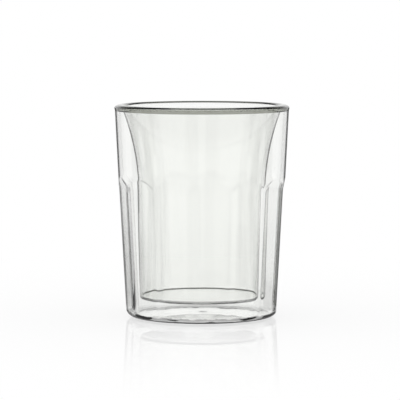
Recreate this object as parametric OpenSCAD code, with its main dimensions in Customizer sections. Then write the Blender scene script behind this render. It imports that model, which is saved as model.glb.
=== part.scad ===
// Double walled glass cup with flat panels round its outer wall.
// A flared well hangs inside an outer wall. A rolled bead joins the two at the rim, and a drop
// of glass in the vent of the base closes the air gap between them. Millimetres, +Z up, with the
// origin at the centre of the ring that the cup stands on.

/* [Cup] */
// Diameter of the rim bead at its widest
rim_d = 88; // [84:0.5:94]
// Height from the table to the top of the rim
cup_h = 107; // [98:0.5:118]

/* [Outer wall] */
// Outside diameter of the outer wall, carried down to the table
foot_d = 77; // [72:0.5:82]
// Thickness of the outer wall
outer_wall_t = 1.3; // [1:0.05:1.8]
// Thickness of the base of the outer wall
outer_base_t = 1.6; // [1.2:0.1:2.4]
// Radius where the outer wall turns into its base
foot_corner_r = 5.5; // [4:0.25:8]
// Radius at which the hollow under the base begins
hollow_edge_r = 29; // [22:0.5:30]
// Height of the hollow under the base, at its centre
hollow_h = 0.9; // [0.6:0.1:1.5]

/* [Panels] */
// Number of flat panels round the outer wall
panel_count = 13; // [11:1:15]
// How far the ridges between the panels lie inside the round wall at the foot
ridge_drop = 0.25; // [0.2:0.05:0.5]
// Height at which the ridges run out into the round wall
ridge_top_z = 52; // [40:0.5:54]
// Height at which the flats end and the scoops over them start
panel_top_z = 64.5; // [62:0.5:68]
// Radius of the scoop that runs each panel out into an arch
scoop_r = 40; // [30:1:50]
// Angle at which the scoop turns out of the flat
scoop_angle = 6; // [3:0.5:10]

/* [Well] */
// Outside diameter of the well at its floor
well_base_d = 62.4; // [58:0.2:65]
// Outside diameter of the well where its flare begins
well_neck_d = 63.8; // [60:0.2:66]
// Thickness of the wall of the well
well_wall_t = 1.2; // [1:0.05:1.6]
// Height of the inside floor above the table
floor_z = 10.6; // [9:0.2:16]
// Thickness of the inside floor
floor_t = 1.8; // [1.4:0.1:2.4]
// Outside radius where the well turns into its floor
well_corner_r = 2; // [1.8:0.1:4]
// Height at which the well starts to flare
flare_start_z = 61; // [50:0.5:64]

/* [Rim bead] */
// Height of the bead above the tops of the walls
bead_h = 3; // [2.6:0.1:4]
// How far the bead stands proud of each wall
bead_proud = 0.25; // [0.1:0.05:0.5]
// Radius of the bead's lips
bead_lip_r = 1.2; // [0.8:0.1:1.4]
// Width of the air gap under the bead
rim_gap_w = 2.7; // [2:0.1:4]

/* [Vent seal] */
// Diameter of the vent through the base
vent_d = 5; // [3:0.5:7]
// Height of the drop above the base, inside the gap
seal_dome_h = 0.5; // [0.4:0.1:1.5]
// How far the drop bulges down into the hollow under the base
seal_bulge_h = 0.4; // [0.2:0.05:0.5]

/* [Hidden] */

// Clear glass with a breath of green, and the same seen through the thick bead
wall_tint = [0.86, 0.9, 0.88, 0.35];
bead_tint = [0.72, 0.77, 0.74, 0.5];

// Segments of a full turn, of a small round and of a wide, shallow arc
turn_fn = 260;
round_fn = 96;
wide_fn = 1440;
// How far a cut runs past the face that it opens
overrun = 1;

// Both walls end at this height, and the bead stands on them
wall_top_z = cup_h - bead_h;

// Outer wall: radius at its foot and top, and how fast it widens with height
foot_r = foot_d / 2;
outer_top_r = rim_d / 2 - bead_proud;
taper = (outer_top_r - foot_r) / wall_top_z;
taper_len = sqrt(1 + taper * taper);

// Panels: each flat lies between two upright ridges, which meet the tapered wall at their tops
half_panel = 180 / panel_count;
flat_r = (foot_r - ridge_drop) * cos(half_panel);
flat_taper = (taper + ridge_drop / ridge_top_z) * cos(half_panel);
panel_w = 2 * max(foot_r, outer_top_r) * sin(half_panel) + overrun;

// The hollow under the base is the cap of a wide ball
hollow_ball_r = (hollow_edge_r * hollow_edge_r + hollow_h * hollow_h) / (2 * hollow_h);
hollow_ball_z = hollow_h - hollow_ball_r;

// Well: outside radii, and the one arc of its flare, which starts upright at the neck
well_base_r = well_base_d / 2;
well_neck_r = well_neck_d / 2;
well_top_r = outer_top_r - outer_wall_t - rim_gap_w;
flare_rise = wall_top_z - flare_start_z;
flare_out = well_top_r - well_neck_r;
flare_arc_r = (flare_rise * flare_rise + flare_out * flare_out) / (2 * flare_out);

// Bead: its section, from the lip over the drink to the lip over the outer wall
bead_in_r = well_top_r - well_wall_t - bead_proud;
bead_mid_r = (bead_in_r + rim_d / 2) / 2;
lip_reach = (rim_d / 2 - bead_in_r) / 2 - bead_lip_r;
// The crown between the lips is an arc wider than half the bead by this share
crown_share = 1.5;
crown_r = crown_share * (lip_reach + bead_lip_r);
crown_z = cup_h - crown_r;
lip_rise = sqrt(pow(crown_r - bead_lip_r, 2) - pow(lip_reach, 2));
lip_z = crown_z + lip_rise;
// Far enough past the crown for the wedge that bounds it
wedge_share = 2;

// Radius of the outer wall at height z, set in by t
function outer_r(z, t) = foot_r + taper * z - t;

// Radius of a ball whose cap is h high over a circle of radius r
function cap_ball_r(r, h) = (r * r + h * h) / (2 * h);

// Outline of the tapered outer wall, set in by t, with its base at height low_z
module taper_outline(t, low_z, top_z) {
    corner_r = foot_corner_r - t;
    corner_z = low_z + corner_r;
    corner_mid_r = outer_r(corner_z, t) - corner_r * taper_len;
    translate([corner_mid_r, corner_z]) circle(r = corner_r, $fn = round_fn);
    polygon([
        [0, low_z],
        [corner_mid_r, low_z],
        [corner_mid_r + corner_r / taper_len, corner_z - corner_r * taper / taper_len],
        [outer_r(top_z, t), top_z],
        [0, top_z]
    ]);
}

// What the hollow takes off an outline whose base is at height low_z
module hollow_outline(low_z) {
    intersection() {
        translate([0, hollow_ball_z]) circle(r = hollow_ball_r + low_z, $fn = wide_fn);
        translate([0, -overrun]) square([hollow_edge_r, hollow_h + low_z + 2 * overrun]);
    }
}

// What one panel takes off a wall that is set in by t, seen from its side: the flat, and the
// scoop over it. It is drawn from the flat's upper end, with the flat upright, and then leant.
module panel_outline(t) {
    scoop_mid = [scoop_r * cos(scoop_angle), -scoop_r * sin(scoop_angle)];
    translate([flat_r + flat_taper * panel_top_z, panel_top_z])
        rotate(-atan(flat_taper)) {
            translate([-t, -cup_h]) square([scoop_r, cup_h + scoop_mid[1]]);
            intersection() {
                translate(scoop_mid) circle(r = scoop_r + t, $fn = turn_fn);
                translate([-t, -scoop_r]) square([scoop_r, 2 * scoop_r]);
            }
        }
}

// The outer wall's form, set in by t. A ridge between two panels looks along -X.
module panelled_form(t, low_z, top_z) {
    difference() {
        rotate_extrude($fn = turn_fn)
            difference() {
                taper_outline(t, low_z, top_z);
                hollow_outline(low_z);
            }
        for (i = [0:panel_count - 1])
            rotate([90, 0, 180 + (2 * i + 1) * half_panel])
                linear_extrude(height = panel_w, center = true) panel_outline(t);
    }
}

// Outer wall: the panelled shell, open at the top, with the vent through its base
module outer_wall() {
    color(wall_tint)
        difference() {
            panelled_form(0, 0, wall_top_z);
            panelled_form(outer_wall_t, outer_base_t, wall_top_z + overrun);
            translate([0, 0, -overrun]) cylinder(h = floor_z, d = vent_d, $fn = round_fn);
        }
}

// Outline of the well, set in by t, with its floor at height low_z
module well_outline(t, low_z, top_z) {
    corner_r = well_corner_r - t;
    corner_mid_r = well_base_r - well_corner_r;
    difference() {
        union() {
            translate([corner_mid_r, low_z + corner_r]) circle(r = corner_r, $fn = round_fn);
            polygon([
                [0, low_z],
                [corner_mid_r, low_z],
                [well_base_r - t, low_z + corner_r],
                [well_neck_r - t, flare_start_z],
                [well_top_r + flare_out, flare_start_z],
                [well_top_r + flare_out, top_z],
                [0, top_z]
            ]);
        }
        translate([well_neck_r + flare_arc_r, flare_start_z])
            circle(r = flare_arc_r + t, $fn = wide_fn);
    }
}

// Inner wall: the well that holds the drink, with its floor
module inner_wall() {
    color(wall_tint)
        rotate_extrude($fn = turn_fn)
            difference() {
                well_outline(0, floor_z - floor_t, wall_top_z);
                well_outline(well_wall_t, floor_z, wall_top_z + overrun);
            }
}

// Rim bead: sits flat on the tops of both walls, closes the gap and is crowned between its lips
module rim_bead() {
    color(bead_tint)
        rotate_extrude($fn = turn_fn)
            union() {
                for (side = [-1, 1])
                    translate([bead_mid_r + side * lip_reach, lip_z])
                        circle(r = bead_lip_r, $fn = round_fn);
                intersection() {
                    translate([bead_mid_r, crown_z]) circle(r = crown_r, $fn = round_fn);
                    polygon([
                        [bead_mid_r - lip_reach, lip_z],
                        [bead_mid_r + lip_reach, lip_z],
                        [bead_mid_r + wedge_share * lip_reach, crown_z + wedge_share * lip_rise],
                        [bead_mid_r - wedge_share * lip_reach, crown_z + wedge_share * lip_rise]
                    ]);
                }
                polygon([
                    [bead_in_r + bead_proud, wall_top_z],
                    [outer_top_r, wall_top_z],
                    [outer_top_r, lip_z],
                    [bead_in_r + bead_proud, lip_z]
                ]);
            }
}

// Vent seal: a drop of glass that fills the vent, domed in the gap and bulged underneath
module vent_seal() {
    vent_r = vent_d / 2;
    // Where the vent meets the hollow underneath, and the top of the base
    under_z = hollow_ball_z + sqrt(pow(hollow_ball_r, 2) - pow(vent_r, 2));
    over_z = hollow_ball_z + sqrt(pow(hollow_ball_r + outer_base_t, 2) - pow(vent_r, 2));
    mid_z = (under_z + over_z) / 2;
    dome_r = cap_ball_r(vent_r, seal_dome_h);
    bulge_r = cap_ball_r(vent_r, seal_bulge_h);
    color(bead_tint)
        rotate_extrude($fn = round_fn)
            union() {
                translate([0, under_z]) square([vent_r, over_z - under_z]);
                intersection() {
                    translate([0, over_z + seal_dome_h - dome_r]) circle(r = dome_r, $fn = turn_fn);
                    translate([0, mid_z]) square([vent_r, outer_base_t + seal_dome_h]);
                }
                intersection() {
                    translate([0, under_z - seal_bulge_h + bulge_r]) circle(r = bulge_r, $fn = turn_fn);
                    translate([0, under_z - seal_bulge_h]) square([vent_r, mid_z - under_z + seal_bulge_h]);
                }
            }
}

outer_wall();
inner_wall();
rim_bead();
vent_seal();
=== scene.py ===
import math

import bmesh
import bpy
from bpy.props import FloatProperty, FloatVectorProperty, IntProperty, PointerProperty
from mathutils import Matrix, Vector


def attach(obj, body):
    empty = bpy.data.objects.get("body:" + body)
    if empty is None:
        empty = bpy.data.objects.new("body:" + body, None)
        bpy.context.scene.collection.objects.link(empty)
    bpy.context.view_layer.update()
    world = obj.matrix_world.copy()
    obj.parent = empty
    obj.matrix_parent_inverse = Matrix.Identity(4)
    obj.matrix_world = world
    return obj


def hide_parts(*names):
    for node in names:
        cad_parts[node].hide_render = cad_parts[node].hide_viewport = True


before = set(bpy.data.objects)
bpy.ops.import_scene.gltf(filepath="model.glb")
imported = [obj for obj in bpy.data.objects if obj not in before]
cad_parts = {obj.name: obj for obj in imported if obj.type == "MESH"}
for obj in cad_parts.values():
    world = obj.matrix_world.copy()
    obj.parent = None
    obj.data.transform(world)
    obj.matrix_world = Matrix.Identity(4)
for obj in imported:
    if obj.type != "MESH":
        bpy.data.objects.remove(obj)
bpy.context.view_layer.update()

bl_info = {
    "name": "Double walled glass cup",
    "version": (1, 0, 0),
    "blender": (4, 5, 0),
    "location": "3D View > Sidebar > Glass cup",
    "description": "Makes a clear double walled cup with thirteen flat panels, and its studio",
    "category": "Object",
}

# Rings of the outer wall below, across and over its arches, and how far the close ones across
# them reach below and above the tops of the flats
LOW_RINGS, ARCH_RINGS, HIGH_RINGS = 12, 34, 8
ARCH_BELOW, ARCH_ABOVE = 0.0025, 0.009
# Rings across the hollow, the face that the cup stands on and the corner of the foot, and the
# least space between the corner and the ring over it
HOLLOW_RINGS, FOOT_RINGS, FOOT_CORNER_RINGS = 10, 3, 12
LEAST_SPACE = 0.001
# Columns in each panel, and how much they crowd towards the ridges
PANEL_COLUMNS, CROWDING = 40, 0.4
# Rings of the well: across its floor, round its corner outside and inside, up to the flare and
# up the flare
FLOOR_RINGS, CORNER_RINGS_OUTSIDE, CORNER_RINGS_INSIDE = 8, 14, 10
NECK_RINGS, FLARE_RINGS = 8, 28
# Rings of the bead: up each side, round each lip and over the crown
SIDE_RINGS, LIP_RINGS, CROWN_RINGS = 7, 8, 14
# The crown of the bead is an arc wider than half the bead by this share
CROWN_SHARE = 1.5
# Rings of the drop in the vent, underneath and on top
BULGE_RINGS, DOME_RINGS = 10, 12
# Columns in a full turn of the round pieces
WELL_COLUMNS, BEAD_COLUMNS, SEAL_COLUMNS = 480, 520, 120
# Points closer to the axis than this lie on it
ON_AXIS = 1e-9
# Faces that meet at a wider angle keep a sharp edge
SHARP_ANGLE = math.radians(38)

# Blown glass: its index of refraction, how far its streaks are drawn out, how much they add to
# the ripple, and how rough its polish is at most
GLASS_IOR = 1.47
STREAK_PULL, STREAK_SHARE = 0.06, 0.12
POLISH = 0.005
# Scales of the noise in the glass, where it ripples and in its streaks, in the fused joints and
# in the floor, and the darkest tones that it gives them
RIPPLE_SCALE, STREAK_SCALE, JOINT_SCALE, FLOOR_SCALE = 60.0, 420.0, 300.0, 90.0
DARKEST_GLASS, DARKEST_JOINT, DARKEST_FLOOR = 0.992, 0.96, 0.97
# A count of crossings or mirrorings under the first is none, and under the second one at most
ONE_TIME, TWO_TIMES = 0.5, 1.5

# A pair of numbers is where a soft step starts and ends. A slant is 0 where a surface faces the
# eye and 1 at its edge.
# Painted shade on the ridge edges: angle from the ridge in radians, and slant
WIDE_RIDGE = ((0.07, 0.1), (0.68, 0.78))
THIN_RIDGE = ((0.028, 0.04), (0.52, 0.62))
# Slant of the painted shade where light that has run along inside the outer wall leaves it
ALONG_SLANT = (0.172, 0.2)
# Where the panels start over the table, and where they end, from the tops of the flats
PANEL_FOOT, PANEL_HEAD = (0.003, 0.007), (-0.001, 0.004)
# Painted shade in the corner of the well, in parts of its width: out from the inside of the
# wall, and up from the inside floor
CORNER_OUT = ((-1.0, -0.7), (0.3, 0.6))
CORNER_UP = ((-1.0, -0.5), (0.4, 0.8))
# Where the rim's painted shades lie: its crown, down from the top of the rim, its grazing
# slant, and where its outer side starts, from the middle of the bead
CROWN_DOWN, CROWN_SLANT = (0.0011, 0.0006), (0.22, 0.36)
SIDE_OUT = 0.001

# The tent: half the width of a flag's soft edge, how high the flags reach over the floor, and
# where the ceiling starts, both as the upward part of a direction
FLAG_EDGE = math.radians(1.5)
FLAG_REACH, CEILING_START = (0.15, 0.22), (0.22, 0.42)
# The floor: its radius, how far it lies under the cup, the corners of its edge and its roughness
FLOOR_RADIUS, FLOOR_DROP, FLOOR_CORNERS, FLOOR_ROUGHNESS = 0.6, 0.0002, 96, 0.7
# Distances from the axis: from the tones under the cup to those round its foot, from there to
# the table, and on to the sweep of the tent
UNDER_CUP, ROUND_FOOT, TO_TENT = (0.031, 0.035), (0.043, 0.056), (0.25, 0.6)
# How much of the shadow is kept, where it and the mirror image fade out, and how the floor's
# polish mirrors
SHADOW_SHARE = 0.22
SHADOW_FADE, MIRROR_FADE = (0.05, 0.3), (0.04, 0.3)
MIRROR_IOR, MIRROR_ROUGHNESS = 1.06, 0.012

# The photograph: its width and the cup's axis in pixels, and metres to a pixel at the cup
PHOTO_PIXELS, AXIS_PIXEL, PIXEL = 400, 201.9, 0.000504
# The camera: its lens in millimetres, its distance and height, and the height that it looks at
LENS, CAMERA_DISTANCE, CAMERA_HEIGHT, AIM_HEIGHT = 250.75, 1.4, 0.1704, 0.0588
# Light crosses many faces of clear glass before it leaves
GLASS_BOUNCES, MIRROR_BOUNCES = 32, 16


def a_length(name, default, description):
    """A property in metres"""
    return FloatProperty(name=name, description=description, default=default, unit="LENGTH")


def an_angle(name, degrees, description):
    """A property that is an angle"""
    return FloatProperty(
        name=name, description=description, default=math.radians(degrees), unit="ROTATION")


def a_share(name, default, description):
    """A property from 0 to 1"""
    return FloatProperty(
        name=name, description=description, default=default, min=0, max=1, subtype="FACTOR")


def a_tint(name, default, description):
    """A property that is a colour"""
    return FloatVectorProperty(
        name=name, description=description, default=default, min=0, max=1, subtype="COLOR", size=3)


class CupSizes(bpy.types.PropertyGroup):
    """Sizes of the blown glass, in metres"""

    rim_diameter: a_length("Rim diameter", 0.088, "Diameter of the rim bead at its widest")
    height: a_length("Height", 0.107, "From the table to the top of the rim")
    foot_diameter: a_length(
        "Foot diameter", 0.077, "Outside diameter of the outer wall, carried down to the table")
    outer_wall: a_length("Outer wall", 0.0013, "Thickness of the outer wall")
    outer_base: a_length("Outer base", 0.0016, "Thickness of the base of the outer wall")
    foot_corner: a_length(
        "Foot corner", 0.0055, "Radius where the outer wall turns into its base")
    hollow_edge: a_length(
        "Hollow edge", 0.029, "Radius at which the hollow under the base begins")
    hollow_depth: a_length(
        "Hollow depth", 0.0009, "Height of the hollow under the base, at its centre")
    panels: IntProperty(
        name="Panels", description="Number of flat panels round the outer wall",
        default=13, min=11, max=15)
    ridge_drop: a_length(
        "Ridge drop", 0.0002, "How far the ridges lie inside the round wall at the foot")
    ridge_top: a_length(
        "Ridge top", 0.052, "Height at which the ridges run out into the round wall")
    ridge_softness: a_length(
        "Ridge softness", 0.0014, "How much the fire polish rounds a ridge")
    ridge_fill: FloatProperty(
        name="Ridge fill",
        description="How much softer a ridge is inside than outside, per wall thickness",
        default=1.2, min=0, subtype="FACTOR")
    flat_top: a_length(
        "Top of the flats", 0.0645, "Height at which the flats end and their arches start")
    scoop_radius: a_length(
        "Scoop radius", 0.040, "Radius of the scoop that runs a flat out into its arch")
    scoop_angle: an_angle("Scoop angle", 6, "Angle at which the scoop turns out of the flat")
    arch_softness: a_length(
        "Arch softness", 0.00016, "How much the fire polish rounds the edge of an arch")
    well_base: a_length("Well base", 0.0624, "Outside diameter of the well at its floor")
    well_neck: a_length(
        "Well neck", 0.0638, "Outside diameter of the well where its flare begins")
    well_wall: a_length("Well wall", 0.0012, "Thickness of the wall of the well")
    floor_height: a_length("Floor height", 0.0106, "Height of the inside floor above the table")
    floor_thickness: a_length("Floor thickness", 0.0013, "Thickness of the inside floor")
    well_corner: a_length(
        "Well corner", 0.0016, "Outside radius where the well turns into its floor")
    flare_start: a_length(
        "Start of the flare", 0.061, "Height at which the well starts to flare")
    bead_height: a_length(
        "Bead height", 0.003, "Height of the bead above the tops of the walls")
    bead_proud: a_length("Bead proud", 0.00025, "How far the bead stands proud of each wall")
    bead_lip: a_length("Bead lip", 0.0012, "Radius of the lips of the bead")
    rim_gap: a_length("Rim gap", 0.0027, "Width of the air gap under the bead")
    vent: a_length("Vent", 0.005, "Diameter of the vent through the base")
    seal_dome: a_length(
        "Seal dome", 0.00025, "Height of the glass drop above the base, inside the gap")
    seal_bulge: a_length("Seal bulge", 0.0004, "How far the drop bulges down under the base")


class CupLooks(bpy.types.PropertyGroup):
    """Looks of the glass and of the studio round it"""

    wall_tint: a_tint("Wall tint", (0.994, 0.998, 0.988), "Tint of the two thin walls")
    seal_tint: a_tint("Seal tint", (0.97, 0.985, 0.965), "Tint of the drop that seals the vent")
    # Painted shade: darkens the rim's outer side
    bead_shade: a_tint(
        "Bead shade", (0.36, 0.37, 0.33),
        "Tint of the rim's outer side, whose glass is many times thicker")
    # Painted shade: darkens a ridge's edge where it turns away from the eye
    ridge_shade: a_tint(
        "Ridge shade", (0.08, 0.083, 0.076),
        "Tint of a ridge's edge where it turns away from the eye")
    # Painted shade: darkens the wall's outline where light leaves it aslant
    along_shade: a_tint(
        "Shade along the wall", (0.3, 0.308, 0.29),
        "Tint of light that has run along inside the outer wall")
    # Painted shade: darkens the corner of the well, where its wall turns into its floor
    corner_shade: a_tint(
        "Corner shade", (0.12, 0.125, 0.11),
        "Tint of the corner where the well's wall turns into its floor")
    # Width of the band of painted shade in the well's corner
    corner_shade_band: a_length("Corner shade band", 0.0011, "How wide the thicker glass of that corner is")
    # Painted shade: darkens the rim's crown where the eye grazes it
    crown_shade: a_tint(
        "Crown shade", (0.14, 0.145, 0.125),
        "Tint of the rim's crown, which bends the light of the ceiling")
    ripple: a_length(
        "Ripple", 0.000006, "Depth of the slow ripple that blowing leaves in the glass")
    backdrop: a_tint(
        "Backdrop", (1.0, 1.0, 1.0), "Colour of the floor and of the sweep behind it")
    tent_tone: a_share("Tent tone", 0.86, "Tone of the light tent that the glass mirrors")
    flag_tone: a_share("Flag tone", 0.12, "Tone of the dark flags that draw the glass's outline")
    low_tent_tone: a_share(
        "Low tent tone", 0.6, "Tone of the table round the cup that the glass mirrors")
    low_flag_tone: a_share(
        "Low flag tone", 0.04, "Tone of the dark flags where they lie on the table")
    under_tone: a_share(
        "Under tone", 0.95, "Tone of the table under the cup that the glass mirrors")
    # Painted shade: the table close round the foot is darker where the glass mirrors it
    foot_shade_tone: a_share(
        "Foot shade tone", 0.45, "Tone of the table close round the foot that the glass mirrors")
    flag_start: an_angle(
        "Flag start", 5, "Angle from a side of the tent at which a flag starts")
    flag_end: an_angle("Flag end", 23, "Angle from a side of the tent at which a flag ends")
    near_flags: a_share(
        "Near flags", 0.35, "How much of the flags in front of the cup is left")
    ceiling_tone: a_share(
        "Ceiling tone", 0.12, "Tone of the dim ceiling that the rim bends into view")
    floor_mirror: a_share(
        "Floor mirror", 1.0, "How strongly the polished floor mirrors the cup")


def feed(node, inputs):
    """Feed inputs of a node, each from another node's output or with a plain value"""
    for slot, value in inputs.items():
        if isinstance(value, bpy.types.NodeSocket):
            node.id_data.links.new(value, node.inputs[slot])
        else:
            node.inputs[slot].default_value = value


def add(tree, kind, inputs, **settings):
    """A new node with its settings and its inputs"""
    node = tree.nodes.new(kind)
    for name, value in settings.items():
        setattr(node, name, value)
    feed(node, inputs)
    return node


def work(tree, operation, *values):
    """The output of a Math node"""
    return add(tree, "ShaderNodeMath", dict(enumerate(values)), operation=operation).outputs[0]


def product(tree, first, *others):
    """All the values multiplied"""
    for other in others:
        first = work(tree, "MULTIPLY", first, other)
    return first


def ramp(tree, value, start, end, low=0.0, high=1.0):
    """Softly from one number to another while a value goes from start to end"""
    return add(tree, "ShaderNodeMapRange", {
        "Value": value, "From Min": start, "From Max": end, "To Min": low, "To Max": high,
    }, interpolation_type="SMOOTHSTEP").outputs["Result"]


def band(tree, value, rise, fall):
    """1 between two soft steps and 0 outside them"""
    return product(tree, ramp(tree, value, *rise), ramp(tree, value, *fall, 1.0, 0.0))


def either(tree, mask, off, on):
    """One value where a mask is 0 and another where it is 1"""
    return work(tree, "ADD", product(tree, on, mask),
                product(tree, off, work(tree, "SUBTRACT", 1.0, mask)))


def noise(tree, place, scale, detail=2.0):
    """Soft noise from 0 to 1"""
    return add(tree, "ShaderNodeTexNoise", {
        "Vector": place, "Scale": scale, "Detail": detail,
    }).outputs["Fac"]


def pale(tree, value, darkest):
    """A tone from the darkest to white that follows a value"""
    return add(tree, "ShaderNodeMapRange", {"Value": value, "To Min": darkest}).outputs["Result"]


def toned(tree, colour, tone):
    """A colour times a tone"""
    return add(tree, "ShaderNodeMix", {"Factor": 1.0, "A": colour, "B": tone},
               data_type="RGBA", blend_type="MULTIPLY").outputs["Result"]


def coordinates(tree, kind="Object"):
    """The x, y and z of a point of a surface, or of a direction of the world"""
    place = tree.nodes.new("ShaderNodeTexCoord").outputs[kind]
    return add(tree, "ShaderNodeSeparateXYZ", {0: place}).outputs


def radius_of(tree, x, y):
    """Distance from the cup's axis"""
    return work(tree, "SQRT", work(tree, "ADD", product(tree, x, x), product(tree, y, y)))


def folded(tree, turn, step, half):
    """Angle from the middle of the step that a turn falls in"""
    within = work(tree, "FLOORED_MODULO", turn, step)
    return work(tree, "ABSOLUTE", work(tree, "SUBTRACT", within, half))


def slant_of(tree):
    """0 where a surface faces the eye, up to 1 at its edge"""
    return add(tree, "ShaderNodeLayerWeight", {"Blend": 0.5}).outputs["Facing"]


def straight_light(tree):
    """1 for light that no surface has mirrored on its way, and 0 for the rest"""
    path = tree.nodes.new("ShaderNodeLightPath").outputs
    return work(tree, "LESS_THAN", path["Glossy Depth"], ONE_TIME)


def tidy_nodes(tree):
    """Set the nodes out in columns, each to the right of those that feed it"""
    depth = {node: 0 for node in tree.nodes}
    for _ in range(len(tree.nodes)):
        moved = False
        for link in tree.links:
            if depth[link.to_node] <= depth[link.from_node]:
                depth[link.to_node] = depth[link.from_node] + 1
                moved = True
        if not moved:
            break
    rows = {}
    for node in tree.nodes:
        row = rows.get(depth[node], 0)
        rows[depth[node]] = row + 1
        node.location = (200 * depth[node], -170 * row)


def new_material(name):
    """A material, its nodes and its shader"""
    material = bpy.data.materials.new(name)
    material.use_nodes = True
    tree = material.node_tree
    return material, tree, tree.nodes["Principled BSDF"]


def blown_glass_group():
    """Slow ripple, drawn streaks and a breath of uneven tint, shared by every glass"""
    found = bpy.data.node_groups.get("blown_glass")
    if found:
        return found
    tree = bpy.data.node_groups.new("blown_glass", "ShaderNodeTree")
    for name, kind, value in (("Tint", "NodeSocketColor", (1, 1, 1, 1)),
                              ("Ripple Size", "NodeSocketFloat", RIPPLE_SCALE),
                              ("Streak Size", "NodeSocketFloat", STREAK_SCALE)):
        tree.interface.new_socket(name, in_out="INPUT", socket_type=kind).default_value = value
    for name, kind in (("Color", "NodeSocketColor"), ("Roughness", "NodeSocketFloat"),
                       ("Height", "NodeSocketFloat")):
        tree.interface.new_socket(name, in_out="OUTPUT", socket_type=kind)
    given = tree.nodes.new("NodeGroupInput").outputs
    place = tree.nodes.new("ShaderNodeTexCoord").outputs["Object"]
    ripple = noise(tree, place, given["Ripple Size"], 1.5)
    # Streaks are drawn upright by the pull of the glass
    drawn = add(tree, "ShaderNodeMapping", {"Vector": place, "Scale": (1.0, 1.0, STREAK_PULL)})
    streak = noise(tree, drawn.outputs["Vector"], given["Streak Size"])
    polish = product(tree, work(tree, "SUBTRACT", ripple, 0.5), 2 * POLISH)
    add(tree, "NodeGroupOutput", {
        "Color": toned(tree, given["Tint"], pale(tree, ripple, DARKEST_GLASS)),
        "Roughness": work(tree, "MAXIMUM", polish, 0.0),
        "Height": work(tree, "MULTIPLY_ADD", streak, STREAK_SHARE, ripple),
    })
    tidy_nodes(tree)
    return tree


def glass_material(name, tint, ripple):
    """Clear blown glass. The ripple is its depth in metres"""
    material, tree, shader = new_material(name)
    detail = add(tree, "ShaderNodeGroup", {"Tint": (*tint, 1.0)}, node_tree=blown_glass_group())
    bump = add(tree, "ShaderNodeBump", {
        "Strength": 1.0, "Distance": ripple, "Height": detail.outputs["Height"],
    })
    feed(shader, {
        "Metallic": 0.0, "IOR": GLASS_IOR, "Transmission Weight": 1.0,
        "Base Color": detail.outputs["Color"], "Roughness": detail.outputs["Roughness"],
        "Normal": bump.outputs["Normal"],
    })
    tidy_nodes(tree)
    return material


def paint_shade(material, tint, mask, leaving=False):
    """Painted shade: where the mask is, tint the light that goes in, or leaves, darker"""
    tree = material.node_tree
    colour = tree.nodes["Principled BSDF"].inputs["Base Color"]
    back = tree.nodes.new("ShaderNodeNewGeometry").outputs["Backfacing"]
    crossed = back if leaving else work(tree, "SUBTRACT", 1.0, back)
    # Light is tinted both where it goes into clear glass and where it leaves. Here it is only
    # one of the two, which therefore has the square of the tint.
    blend = add(tree, "ShaderNodeMix", {
        "Factor": product(tree, mask, crossed), "A": colour.links[0].from_socket,
        "B": (*(channel * channel for channel in tint), 1.0),
    }, data_type="RGBA")
    tree.links.new(blend.outputs["Result"], colour)
    tidy_nodes(tree)


def wall_shade_masks(tree, sizes, forms):
    """Two masks of painted shade on the outer wall below its arches.

    One is a ridge's edge, as the eye first meets it aslant. The other is where light leaves at a
    slant, after it has run along inside the wall.
    """
    x, y, z = coordinates(tree)
    panelled = band(tree, z, PANEL_FOOT, [sizes.flat_top + height for height in PANEL_HEAD])
    # Angle from the nearest ridge. A ridge looks along -X.
    turn = work(tree, "SUBTRACT", work(tree, "ARCTAN2", y, x), math.pi)
    away = work(tree, "PINGPONG", turn, forms.half_panel)
    # Distance outward along the middle of the flat, and the middle of the wall's thickness there
    outward = work(tree, "COSINE", work(tree, "SUBTRACT", forms.half_panel, away))
    reach = product(tree, radius_of(tree, x, y), outward)
    middle = work(tree, "MULTIPLY_ADD", z, forms.flat_taper, forms.flat_r - sizes.outer_wall / 2)
    outside = work(tree, "GREATER_THAN", reach, middle)
    slant = slant_of(tree)
    crossings = tree.nodes.new("ShaderNodeLightPath").outputs["Transmission Depth"]
    edge = work(tree, "MAXIMUM", *(
        product(tree, ramp(tree, away, *near, 1.0, 0.0), ramp(tree, slant, *turned))
        for near, turned in (WIDE_RIDGE, THIN_RIDGE)))
    ridge = product(tree, edge, work(tree, "LESS_THAN", crossings, ONE_TIME))
    along = product(tree, outside, ramp(tree, slant, *ALONG_SLANT),
                    work(tree, "LESS_THAN", crossings, TWO_TIMES))
    return product(tree, ridge, panelled), product(tree, along, panelled)


def fused_material():
    """Where two pieces are fused there is no surface to see, so the joint lets all light by"""
    material = bpy.data.materials.get("fused_joint")
    if material:
        return material
    material, tree, shader = new_material("fused_joint")
    place = tree.nodes.new("ShaderNodeTexCoord").outputs["Object"]
    tone = pale(tree, noise(tree, place, JOINT_SCALE), DARKEST_JOINT)
    feed(shader, {"Alpha": 0.0, "IOR": 1.0, "Base Color": tone})
    tidy_nodes(tree)
    return material


def spaced(start, end, steps):
    """Evenly spaced numbers, both ends with them"""
    return [start + (end - start) * i / steps for i in range(steps + 1)]


def eased(start, end, share):
    """From start to end, level at both"""
    return start + (end - start) * share * share * (3 - 2 * share)


def sweep(centre_r, centre_z, radius, start, end, steps):
    """Points of an arc, with its angles in radians from the outward direction"""
    return [(centre_r + radius * math.cos(turn), centre_z + radius * math.sin(turn))
            for turn in spaced(start, end, steps)]


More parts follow.
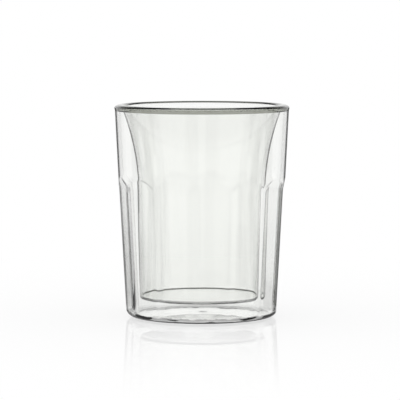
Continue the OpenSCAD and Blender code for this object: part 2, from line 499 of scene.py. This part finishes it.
class Forms:
    """Lengths that follow from the sizes"""

    def __init__(self, sizes):
        self.sizes = sizes
        self.wall_top = sizes.height - sizes.bead_height
        self.foot_r = sizes.foot_diameter / 2
        self.outer_top_r = sizes.rim_diameter / 2 - sizes.bead_proud
        self.taper = (self.outer_top_r - self.foot_r) / self.wall_top
        self.half_panel = math.pi / sizes.panels
        inward = math.cos(self.half_panel)
        self.flat_r = (self.foot_r - sizes.ridge_drop) * inward
        self.flat_taper = (self.taper + sizes.ridge_drop / sizes.ridge_top) * inward
        self.ball_r = (sizes.hollow_edge ** 2 + sizes.hollow_depth ** 2) / (2 * sizes.hollow_depth)
        self.ball_z = sizes.hollow_depth - self.ball_r
        self.well_top_r = self.outer_top_r - sizes.outer_wall - sizes.rim_gap
        flare_rise = self.wall_top - sizes.flare_start
        flare_out = self.well_top_r - sizes.well_neck / 2
        self.flare_r = (flare_rise ** 2 + flare_out ** 2) / (2 * flare_out)

    def outer_r(self, z, inset):
        """Radius of the outer wall at a height"""
        return self.foot_r + self.taper * z - inset

    def hollow_z(self, r, lift):
        """Height of the hollow's ball at a radius"""
        return self.ball_z + math.sqrt((self.ball_r + lift) ** 2 - r ** 2)

    def well_r(self, z, inset):
        """Radius of the flare of the well at a height"""
        rise = z - self.sizes.flare_start
        centre = self.sizes.well_neck / 2 + self.flare_r
        return centre - math.sqrt((self.flare_r + inset) ** 2 - rise ** 2)


def outer_heights(forms):
    """Heights of the rings of the outer wall, close together at the arches"""
    flat_top = forms.sizes.flat_top
    low = spaced(0.0, flat_top - ARCH_BELOW, LOW_RINGS)[1:]
    arch = spaced(low[-1], flat_top + ARCH_ABOVE, ARCH_RINGS)[1:]
    return low + arch + spaced(arch[-1], forms.wall_top, HIGH_RINGS)[1:]


def outer_side(forms, inset, low_z):
    """Outline of one face of the outer wall, from the vent out and up to the top"""
    sizes = forms.sizes
    corner = sizes.foot_corner - inset
    corner_z = low_z + corner
    corner_r = forms.outer_r(corner_z, inset) - corner * math.sqrt(1 + forms.taper ** 2)
    points = [(r, forms.hollow_z(r, low_z))
              for r in spaced(sizes.vent / 2, sizes.hollow_edge, HOLLOW_RINGS)]
    points += [(r, low_z) for r in spaced(sizes.hollow_edge, corner_r, FOOT_RINGS)[1:]]
    points += sweep(corner_r, corner_z, corner, -math.pi / 2, -math.atan(forms.taper),
                    FOOT_CORNER_RINGS)[1:]
    lowest = points[-1][1] + LEAST_SPACE
    points += [(forms.outer_r(z, inset), z) for z in outer_heights(forms) if z > lowest]
    return points


def outer_wall_outline(forms):
    """The closed outline of the outer wall: (radius, height, inset), and which steps are fused"""
    wall, base = forms.sizes.outer_wall, forms.sizes.outer_base
    outside = [(*point, 0.0) for point in outer_side(forms, 0.0, 0.0)]
    inside = [(*point, wall) for point in outer_side(forms, wall, base)]
    outline = outside + inside[::-1]
    return outline, {len(outside) - 1, len(outline) - 1}


def well_side(forms, inset, low_z, corner_rings):
    """Outline of one face of the well, from its axis out and up to the top"""
    sizes = forms.sizes
    corner = sizes.well_corner - inset
    corner_r = sizes.well_base / 2 - sizes.well_corner
    neck_r = sizes.well_neck / 2 - inset
    points = [(r, low_z) for r in spaced(0.0, corner_r, FLOOR_RINGS)]
    points += sweep(corner_r, low_z + corner, corner, -math.pi / 2, 0.0, corner_rings)[1:]
    wall_r, wall_z = points[-1]
    points += [(wall_r + (neck_r - wall_r) * k, wall_z + (sizes.flare_start - wall_z) * k)
               for k in spaced(0.0, 1.0, NECK_RINGS)[1:]]
    points += [(forms.well_r(z, inset), z)
               for z in spaced(sizes.flare_start, forms.wall_top, FLARE_RINGS)[1:]]
    return points


def well_outline(forms):
    """The outline of the well, from the axis under its floor to the axis over it"""
    floor_z, under = forms.sizes.floor_height, forms.sizes.floor_thickness
    outside = well_side(forms, 0.0, floor_z - under, CORNER_RINGS_OUTSIDE)
    inside = well_side(forms, forms.sizes.well_wall, floor_z, CORNER_RINGS_INSIDE)
    return outside + inside[::-1], {len(outside) - 1}


def bead_outline(forms):
    """The closed outline of the bead, which starts where it meets the inside of the well"""
    sizes = forms.sizes
    inside_r = forms.well_r(forms.wall_top, sizes.well_wall)
    lip_in = forms.well_top_r - sizes.well_wall - sizes.bead_proud
    lip_out = sizes.rim_diameter / 2
    middle = (lip_in + lip_out) / 2
    reach = (lip_out - lip_in) / 2 - sizes.bead_lip
    crown = CROWN_SHARE * (reach + sizes.bead_lip)
    crown_z = sizes.height - crown
    lip_rise = math.sqrt((crown - sizes.bead_lip) ** 2 - reach ** 2)
    lip_z = crown_z + lip_rise
    turn = math.atan2(lip_rise, reach)
    bottom = forms.wall_top
    outline = [(inside_r, bottom), (forms.well_top_r, bottom),
               (forms.outer_top_r - sizes.outer_wall, bottom)]
    outline += [(eased(forms.outer_top_r, lip_out, k), bottom + (lip_z - bottom) * k)
                for k in spaced(0.0, 1.0, SIDE_RINGS)]
    for centre_r, centre_z, radius, start, end, rings in (
            (middle + reach, lip_z, sizes.bead_lip, 0.0, turn, LIP_RINGS),
            (middle, crown_z, crown, turn, math.pi - turn, CROWN_RINGS),
            (middle - reach, lip_z, sizes.bead_lip, math.pi - turn, math.pi, LIP_RINGS)):
        outline += sweep(centre_r, centre_z, radius, start, end, rings)[1:]
    outline += [(eased(lip_in, inside_r, k), lip_z + (bottom - lip_z) * k)
                for k in spaced(0.0, 1.0, SIDE_RINGS)[1:-1]]
    return outline, {0, 2}


def seal_outline(forms):
    """The outline of the seal, from the bottom of its bulge to the top of its dome"""
    sizes = forms.sizes
    vent_r = sizes.vent / 2
    under = forms.hollow_z(vent_r, 0.0)
    over = forms.hollow_z(vent_r, sizes.outer_base)

    def cap(height):
        """Radius of the ball of a cap over the vent, and half the angle that the cap takes up"""
        ball = (vent_r ** 2 + height ** 2) / (2 * height)
        return ball, math.asin(vent_r / ball)

    down, up = -math.pi / 2, math.pi / 2
    ball, half = cap(sizes.seal_bulge)
    below = sweep(0.0, under - sizes.seal_bulge + ball, ball, down, half + down, BULGE_RINGS)
    ball, half = cap(sizes.seal_dome)
    above = sweep(0.0, over + sizes.seal_dome - ball, ball, up - half, up, DOME_RINGS)
    return below + above, {len(below) - 1}


def link_piece(name, data):
    """An object at the origin that holds a mesh or a camera"""
    piece = bpy.data.objects.new(name, data)
    bpy.context.scene.collection.objects.link(piece)
    return piece


def spun_mesh(name, outline, angles, fused):
    """Turn an outline of radius and height round the axis. Ends on the axis become poles"""
    build = bmesh.new()
    rings = []
    for radius, z, *_ in outline:
        if radius < ON_AXIS:
            rings.append([build.verts.new((0.0, 0.0, z))])
        else:
            rings.append([build.verts.new((radius * math.cos(a), radius * math.sin(a), z))
                          for a in angles])
    count = len(angles)
    steps = len(outline) if len(rings[0]) > 1 else len(outline) - 1
    for step in range(steps):
        low, high = rings[step], rings[(step + 1) % len(rings)]
        for i in range(count):
            j = (i + 1) % count
            corners = [low[i % len(low)], low[j % len(low)],
                       high[j % len(high)], high[i % len(high)]]
            face = build.faces.new(list(dict.fromkeys(corners)))
            face.smooth = True
            face.material_index = 1 if step in fused else 0
    bmesh.ops.recalc_face_normals(build, faces=build.faces)
    mesh = bpy.data.meshes.new(name)
    build.to_mesh(mesh)
    build.free()
    mesh.set_sharp_from_angle(angle=SHARP_ANGLE)
    return mesh


def round_piece(name, outline, fused, columns, glass):
    """A round piece of glass with its fused joints"""
    angles = [math.tau * i / columns for i in range(columns)]
    mesh = spun_mesh(name, outline, angles, fused)
    mesh.materials.append(glass)
    mesh.materials.append(fused_material())
    return link_piece(name, mesh)


def give(piece, node):
    """The piece rides with the cup and stands for its CAD node"""
    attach(piece, "root")
    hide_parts(node)


PANEL_INPUTS = ("Panels", "Flat Radius", "Flat Taper", "Flat Top", "Scoop Radius", "Scoop Angle",
                "Ridge Softness", "Ridge Fill", "Arch Softness")


def stored(tree, name, kind):
    """What the mesh stores under a name"""
    return add(tree, "GeometryNodeInputNamedAttribute", {"Name": name},
               data_type=kind).outputs["Attribute"]


def panel_tree():
    """Presses flat panels with arched tops into a round wall.

    A panel's flat lies at Flat Radius plus Flat Taper times the height. Over Flat Top a scoop runs
    it out. The inset of a point says how far inside the outer face it lies.
    """
    tree = bpy.data.node_groups.new("pressed_panels", "GeometryNodeTree")
    for name, kind in (("Geometry", "Geometry"), *((name, "Float") for name in PANEL_INPUTS),
                       ("Glass", "Material"), ("Joint", "Material")):
        tree.interface.new_socket(name, in_out="INPUT", socket_type=f"NodeSocket{kind}")
    tree.interface.new_socket("Geometry", in_out="OUTPUT", socket_type="NodeSocketGeometry")
    size = tree.nodes.new("NodeGroupInput").outputs
    scoop_r, scoop_angle = size["Scoop Radius"], size["Scoop Angle"]

    place = tree.nodes.new("GeometryNodeInputPosition").outputs[0]
    x, y, z = add(tree, "ShaderNodeSeparateXYZ", {0: place}).outputs
    inset = stored(tree, "inset", "FLOAT")
    round_r = radius_of(tree, x, y)

    # Angle from the nearest panel's middle. A ridge looks along -X.
    step = work(tree, "DIVIDE", math.tau, size["Panels"])
    turn = work(tree, "SUBTRACT", work(tree, "ARCTAN2", y, x), math.pi)
    fold = folded(tree, turn, step, work(tree, "DIVIDE", step, 2.0))

    # How far the scoop has run out at this height
    mid_out = product(tree, scoop_r, work(tree, "COSINE", scoop_angle))
    mid_down = product(tree, scoop_r, work(tree, "SINE", scoop_angle))
    over = work(tree, "SUBTRACT", z, size["Flat Top"])
    up = work(tree, "MAXIMUM", work(tree, "ADD", over, mid_down), 0.0)
    reach = work(tree, "ADD", scoop_r, inset)
    left = work(tree, "SUBTRACT", product(tree, reach, reach), product(tree, up, up))
    left = work(tree, "SQRT", work(tree, "MAXIMUM", left, 0.0))
    scoop = work(tree, "SUBTRACT", mid_out, left)
    run_out = work(tree, "SMOOTH_MAX", scoop, product(tree, inset, -1.0), size["Arch Softness"])
    flat = work(tree, "MULTIPLY_ADD", size["Flat Taper"], z, size["Flat Radius"])
    flat = work(tree, "ADD", flat, run_out)

    # This panel, the next one, and the round wall, joined softly
    this = work(tree, "DIVIDE", flat, work(tree, "COSINE", fold))
    other = work(tree, "COSINE", work(tree, "SUBTRACT", step, fold))
    other = work(tree, "DIVIDE", flat, other)
    softness = work(tree, "MULTIPLY_ADD", inset, size["Ridge Fill"], size["Ridge Softness"])
    panels = work(tree, "SMOOTH_MIN", this, other, softness)
    pressed = work(tree, "SMOOTH_MIN", panels, round_r, size["Arch Softness"])
    share = work(tree, "DIVIDE", pressed, work(tree, "MAXIMUM", round_r, 1e-6))

    put = add(tree, "ShaderNodeCombineXYZ", {
        0: product(tree, x, share), 1: product(tree, y, share), 2: z})
    press = add(tree, "GeometryNodeSetPosition", {
        "Geometry": size["Geometry"], "Position": put.outputs[0]})
    real = add(tree, "GeometryNodeRealizeInstances", {0: press.outputs[0]})
    glass = add(tree, "GeometryNodeSetMaterial", {
        "Geometry": real.outputs[0], "Material": size["Glass"]})
    joint = add(tree, "GeometryNodeSetMaterial", {
        "Geometry": glass.outputs[0], "Selection": stored(tree, "fused", "BOOLEAN"),
        "Material": size["Joint"]})
    add(tree, "NodeGroupOutput", {"Geometry": joint.outputs[0]})
    tidy_nodes(tree)
    return tree


def panel_angles(panels):
    """Columns of the outer wall, closer together towards the ridges"""
    half = math.pi / panels
    angles = []
    for panel in range(panels):
        middle = math.pi + (2 * panel + 1) * half
        for i in range(PANEL_COLUMNS):
            share = 2 * i / PANEL_COLUMNS - 1
            angles.append(middle + half * ((1 + CROWDING) * share - CROWDING * share ** 3))
    return angles


def make_plain(piece):
    """Turn what the modifiers give into the piece's own mesh"""
    depsgraph = bpy.context.evaluated_depsgraph_get()
    mesh = bpy.data.meshes.new_from_object(piece.evaluated_get(depsgraph), depsgraph=depsgraph)
    rough = piece.data
    piece.modifiers.clear()
    piece.data = mesh
    bpy.data.meshes.remove(rough)


def settings_of(context):
    """The cup's sizes, the lengths that follow from them, and its looks"""
    sizes = context.scene.cup_sizes
    return sizes, Forms(sizes), context.scene.cup_looks


class MakeOuterWall(bpy.types.Operator):
    """Blow the outer wall and press its flat panels"""

    bl_idname = "glass_cup.outer_wall"
    bl_label = "Outer wall"

    def execute(self, context):
        sizes, forms, looks = settings_of(context)
        outline, fused = outer_wall_outline(forms)
        angles = panel_angles(sizes.panels)
        mesh = spun_mesh("panelled_wall", outline, angles, fused)
        insets = mesh.attributes.new("inset", "FLOAT", "POINT")
        insets.data.foreach_set("value", [point[2] for point in outline for _ in angles])
        joints = mesh.attributes.new("fused", "BOOLEAN", "FACE")
        joints.data.foreach_set("value", [face.material_index == 1 for face in mesh.polygons])
        glass = glass_material("clear_wall", looks.wall_tint, looks.ripple)
        # Painted shade on the ridges' edges, and along the outer wall where light leaves it aslant
        ridge, along = wall_shade_masks(glass.node_tree, sizes, forms)
        paint_shade(glass, looks.ridge_shade, ridge)
        paint_shade(glass, looks.along_shade, along, leaving=True)
        piece = link_piece("panelled_wall", mesh)
        modifier = piece.modifiers.new("Pressed panels", "NODES")
        modifier.node_group = panel_tree()
        values = (float(sizes.panels), forms.flat_r, forms.flat_taper, sizes.flat_top,
                  sizes.scoop_radius, sizes.scoop_angle, sizes.ridge_softness, sizes.ridge_fill,
                  sizes.arch_softness, glass, fused_material())
        sockets = [item for item in modifier.node_group.interface.items_tree
                   if item.in_out == "INPUT" and item.socket_type != "NodeSocketGeometry"]
        for socket, value in zip(sockets, values, strict=True):
            modifier[socket.identifier] = value
        make_plain(piece)
        for name in ("inset", "fused"):
            piece.data.attributes.remove(piece.data.attributes[name])
        piece.data.set_sharp_from_angle(angle=SHARP_ANGLE)
        give(piece, "outer_wall")
        return {"FINISHED"}


class MakeWell(bpy.types.Operator):
    """Blow the well that holds the drink"""

    bl_idname = "glass_cup.well"
    bl_label = "Well"

    def execute(self, context):
        sizes, forms, looks = settings_of(context)
        outline, fused = well_outline(forms)
        glass = glass_material("clear_well", looks.wall_tint, looks.ripple)
        tree = glass.node_tree
        x, y, z = coordinates(tree)

        def in_corner_shade(value, start, steps):
            """Where a value lies in the corner's painted shade, whose steps are in parts of its
            width
            """
            return band(tree, value, *([start + part * looks.corner_shade_band for part in step]
                                       for step in steps))

        outward = in_corner_shade(radius_of(tree, x, y), sizes.well_base / 2 - sizes.well_wall, CORNER_OUT)
        upward = in_corner_shade(z, sizes.floor_height, CORNER_UP)
        # Painted shade: a dark ring in the well's corner, which the floor's mirror image does
        # without
        paint_shade(glass, looks.corner_shade, product(tree, outward, upward, straight_light(tree)))
        piece = round_piece("well", outline, fused, WELL_COLUMNS, glass)
        give(piece, "inner_wall")
        return {"FINISHED"}


class MakeRimBead(bpy.types.Operator):
    """Roll the bead that joins the walls at the rim"""

    bl_idname = "glass_cup.rim_bead"
    bl_label = "Rim bead"

    def execute(self, context):
        sizes, forms, looks = settings_of(context)
        outline, fused = bead_outline(forms)
        glass = glass_material("clear_bead", looks.wall_tint, looks.ripple)
        tree = glass.node_tree
        x, y, z = coordinates(tree)
        # Painted shade on the rim's outer side, below its crown
        crown = ramp(tree, z, *(sizes.height - down for down in CROWN_DOWN))
        middle = forms.outer_top_r - sizes.outer_wall - sizes.rim_gap / 2
        side = ramp(tree, radius_of(tree, x, y), middle, middle + SIDE_OUT)
        paint_shade(glass, looks.bead_shade, product(tree, side, work(tree, "SUBTRACT", 1.0, crown)))
        # Painted shade on the crown where the eye grazes it. Light that grazes the crown has the
        # longest way through the bead
        grazed = ramp(tree, slant_of(tree), *CROWN_SLANT)
        paint_shade(glass, looks.crown_shade, product(tree, crown, grazed))
        piece = round_piece("rim_roll", outline, fused, BEAD_COLUMNS, glass)
        give(piece, "rim_bead")
        return {"FINISHED"}


class MakeVentSeal(bpy.types.Operator):
    """Drop the seal into the vent of the base"""

    bl_idname = "glass_cup.vent_seal"
    bl_label = "Vent seal"

    def execute(self, context):
        _, forms, looks = settings_of(context)
        outline, fused = seal_outline(forms)
        glass = glass_material("clear_seal", looks.seal_tint, looks.ripple)
        piece = round_piece("glass_drop", outline, fused, SEAL_COLUMNS, glass)
        give(piece, "vent_seal")
        return {"FINISHED"}


def flag_mask(tree, looks, x, y):
    """Where the flags stand, by compass direction: beside the middle of the tent's four sides.

    They are thinner in front of the cup, where its rounded walls would mirror them as bands.
    """
    quarter = math.pi / 2
    turn = work(tree, "ADD", work(tree, "ARCTAN2", y, x), quarter / 2)
    fold = folded(tree, turn, quarter, quarter / 2)
    flag = band(tree, fold, *((side - FLAG_EDGE, side + FLAG_EDGE)
                              for side in (looks.flag_start, looks.flag_end)))
    sideways = work(tree, "ABSOLUTE", x)
    in_front = work(tree, "LESS_THAN", work(tree, "ADD", y, sideways), 0.0)
    return product(tree, flag, work(tree, "MULTIPLY_ADD", in_front, looks.near_flags - 1.0, 1.0))


def floor_material(looks):
    """A pale, faintly glossy board that keeps the cup's shadow and its mirror image"""
    material, tree, board = new_material("pale_floor")
    place = tree.nodes.new("ShaderNodeTexCoord").outputs["Object"]
    feed(board, {
        "Base Color": pale(tree, noise(tree, place, FLOOR_SCALE), DARKEST_FLOOR),
        "Roughness": FLOOR_ROUGHNESS, "Specular IOR Level": 0.0,
    })
    straight = straight_light(tree)
    x, y, _ = coordinates(tree)
    away = radius_of(tree, x, y)
    # The tones that the glass mirrors: close round the foot, with a painted shade there, on the
    # table, and far off
    plain = ramp(tree, away, *TO_TENT, looks.low_tent_tone, looks.tent_tone)
    dark = ramp(tree, away, *TO_TENT, looks.low_flag_tone, looks.flag_tone)
    table = either(tree, flag_mask(tree, looks, x, y), plain, dark)
    near = ramp(tree, away, *UNDER_CUP, looks.under_tone, looks.foot_shade_tone)
    tone = either(tree, ramp(tree, away, *ROUND_FOOT), near, table)
    glow = add(tree, "ShaderNodeEmission", {
        "Color": (*looks.backdrop, 1.0), "Strength": either(tree, straight, tone, 1.0)})
    # Light that the glass has mirrored sees the plain tones alone, without shadow or image
    shadow = product(tree, ramp(tree, away, *SHADOW_FADE, SHADOW_SHARE, 0.0), straight)
    lit = add(tree, "ShaderNodeMixShader", {
        0: shadow, 1: glow.outputs[0], 2: board.outputs[0]})
    graze = add(tree, "ShaderNodeFresnel", {"IOR": MIRROR_IOR})
    strength = ramp(tree, away, *MIRROR_FADE, looks.floor_mirror, 0.0)
    mirror = add(tree, "ShaderNodeBsdfAnisotropic", {
        "Color": (1.0, 1.0, 1.0, 1.0), "Roughness": MIRROR_ROUGHNESS})
    polished = add(tree, "ShaderNodeMixShader", {
        0: product(tree, graze.outputs[0], strength, straight),
        1: lit.outputs[0], 2: mirror.outputs[0]})
    feed(tree.nodes["Material Output"], {"Surface": polished.outputs[0]})
    tidy_nodes(tree)
    return material


class MakeStage(bpy.types.Operator):
    """Set up the floor, the light and the camera"""

    bl_idname = "glass_cup.stage"
    bl_label = "Stage"

    def execute(self, context):
        looks = context.scene.cup_looks
        self.light(context.scene, looks)
        self.lay_floor(looks)
        self.aim_camera(context.scene)
        return {"FINISHED"}

    def light(self, scene, looks):
        """A white light tent with dark flags and a dim ceiling, which only the glass shows"""
        room = bpy.data.worlds.new("light_tent")
        scene.world = room
        room.use_nodes = True
        tree = room.node_tree
        x, y, z = coordinates(tree, "Generated")
        path = tree.nodes.new("ShaderNodeLightPath").outputs
        flag = flag_mask(tree, looks, x, y)
        tent = work(tree, "MULTIPLY_ADD", flag, looks.flag_tone - looks.tent_tone, looks.tent_tone)
        below = either(tree, straight_light(tree), tent, 1.0)
        # The flags reach a little over the floor. Light that the floor and then the glass have
        # mirrored sees them there, and they draw the outline in the floor's mirror image.
        twice = work(tree, "GREATER_THAN", path["Glossy Depth"], TWO_TIMES)
        reach = product(tree, flag, ramp(tree, z, *FLAG_REACH, 1.0, 0.0), twice)
        drawn = work(tree, "MULTIPLY_ADD", reach, looks.flag_tone - 1.0, 1.0)
        above = product(tree, drawn, ramp(tree, z, *CEILING_START, 1.0, looks.ceiling_tone))
        tone = either(tree, work(tree, "GREATER_THAN", z, 0.0), below, above)
        plain = work(tree, "MAXIMUM", path["Is Camera Ray"], path["Is Diffuse Ray"])
        shown = work(tree, "MAXIMUM", tone, plain)
        feed(tree.nodes["Background"], {
            "Color": toned(tree, (*looks.backdrop, 1.0), shown), "Strength": 1.0})
        tidy_nodes(tree)

    def lay_floor(self, looks):
        """A round floor just under the cup"""
        build = bmesh.new()
        bmesh.ops.create_circle(build, cap_ends=True, segments=FLOOR_CORNERS, radius=FLOOR_RADIUS)
        for point in build.verts:
            point.co.z = -FLOOR_DROP
        mesh = bpy.data.meshes.new("floor")
        build.to_mesh(mesh)
        build.free()
        mesh.materials.append(floor_material(looks))
        floor = link_piece("floor", mesh)

    def aim_camera(self, scene):
        """A long lens, just above the cup's middle, as in the photograph"""
        lens = bpy.data.cameras.new("camera")
        lens.lens = LENS
        lens.sensor_width = 36.0
        lens.clip_end = 40.0
        camera = link_piece("camera", lens)
        # The cup's axis stands a little to the right of the middle of the frame
        aside = (PHOTO_PIXELS / 2 - AXIS_PIXEL) * PIXEL
        camera.location = (aside, -CAMERA_DISTANCE, CAMERA_HEIGHT)
        aim = Vector((aside, 0.0, AIM_HEIGHT)) - camera.location
        camera.rotation_euler = aim.to_track_quat("-Z", "Y").to_euler()
        scene.camera = camera


class CupPanel(bpy.types.Panel):
    """The cup's pieces in the sidebar"""

    bl_idname = "VIEW3D_PT_glass_cup"
    bl_label = "Glass cup"
    bl_space_type = "VIEW_3D"
    bl_region_type = "UI"
    bl_category = "Glass cup"

    def draw(self, context):
        for step in STEPS:
            self.layout.operator(step.bl_idname)
        for group in (context.scene.cup_sizes, context.scene.cup_looks):
            box = self.layout.box()
            for name in group.__annotations__:
                box.prop(group, name)


STEPS = (MakeOuterWall, MakeWell, MakeRimBead, MakeVentSeal, MakeStage)
CLASSES = (CupSizes, CupLooks, *STEPS, CupPanel)


def register():
    for item in CLASSES:
        bpy.utils.register_class(item)
    bpy.types.Scene.cup_sizes = PointerProperty(type=CupSizes)
    bpy.types.Scene.cup_looks = PointerProperty(type=CupLooks)


def unregister():
    del bpy.types.Scene.cup_looks
    del bpy.types.Scene.cup_sizes
    for item in reversed(CLASSES):
        bpy.utils.unregister_class(item)


def main():
    register()
    scene = bpy.context.scene
    scene.view_settings.view_transform = "Standard"
    scene.cycles.max_bounces = GLASS_BOUNCES
    scene.cycles.transmission_bounces = GLASS_BOUNCES
    scene.cycles.glossy_bounces = MIRROR_BOUNCES
    scene.cycles.transparent_max_bounces = GLASS_BOUNCES
    for step in (bpy.ops.glass_cup.outer_wall, bpy.ops.glass_cup.well, bpy.ops.glass_cup.rim_bead,
                 bpy.ops.glass_cup.vent_seal, bpy.ops.glass_cup.stage):
        step()


if __name__ == "__main__":
    main()
